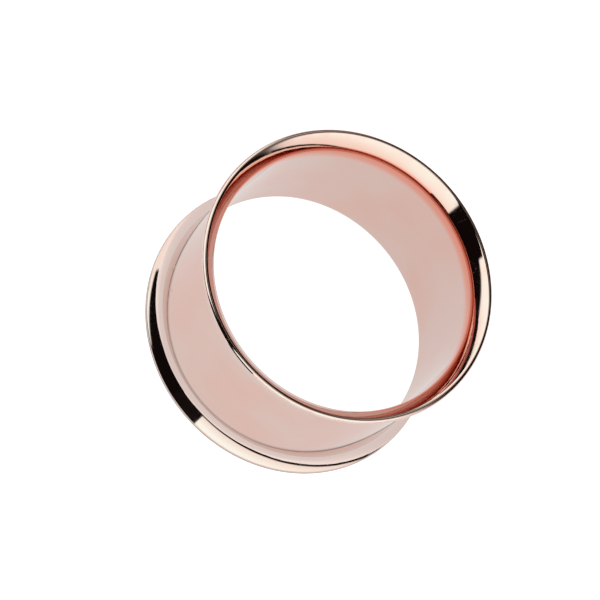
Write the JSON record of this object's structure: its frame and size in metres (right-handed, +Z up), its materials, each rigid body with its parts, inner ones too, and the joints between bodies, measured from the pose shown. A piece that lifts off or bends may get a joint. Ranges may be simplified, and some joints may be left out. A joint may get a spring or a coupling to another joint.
{
  "type": "ear tunnel",
  "caption": "Double-flared ear tunnel: a short ring of mirror-polished rose gold metal with an open bore, a groove for the ear lobe and rounded trumpet rims.",
  "frame": {"origin": "centre of the lower rim, on the surface that the tunnel rests on", "axes": "+Z up along the axis of the bore, from the lower rim to the upper one; X and Y are any two radii, because the ring is turned"},
  "size_m": [0.0238, 0.0238, 0.0134],
  "materials": {
    "rose_gold": "mirror-polished stainless steel with a thin rose gold coating"
  },
  "bodies": {
    "root": {"tunnel": "rose_gold"}
  },
  "joints": []
}
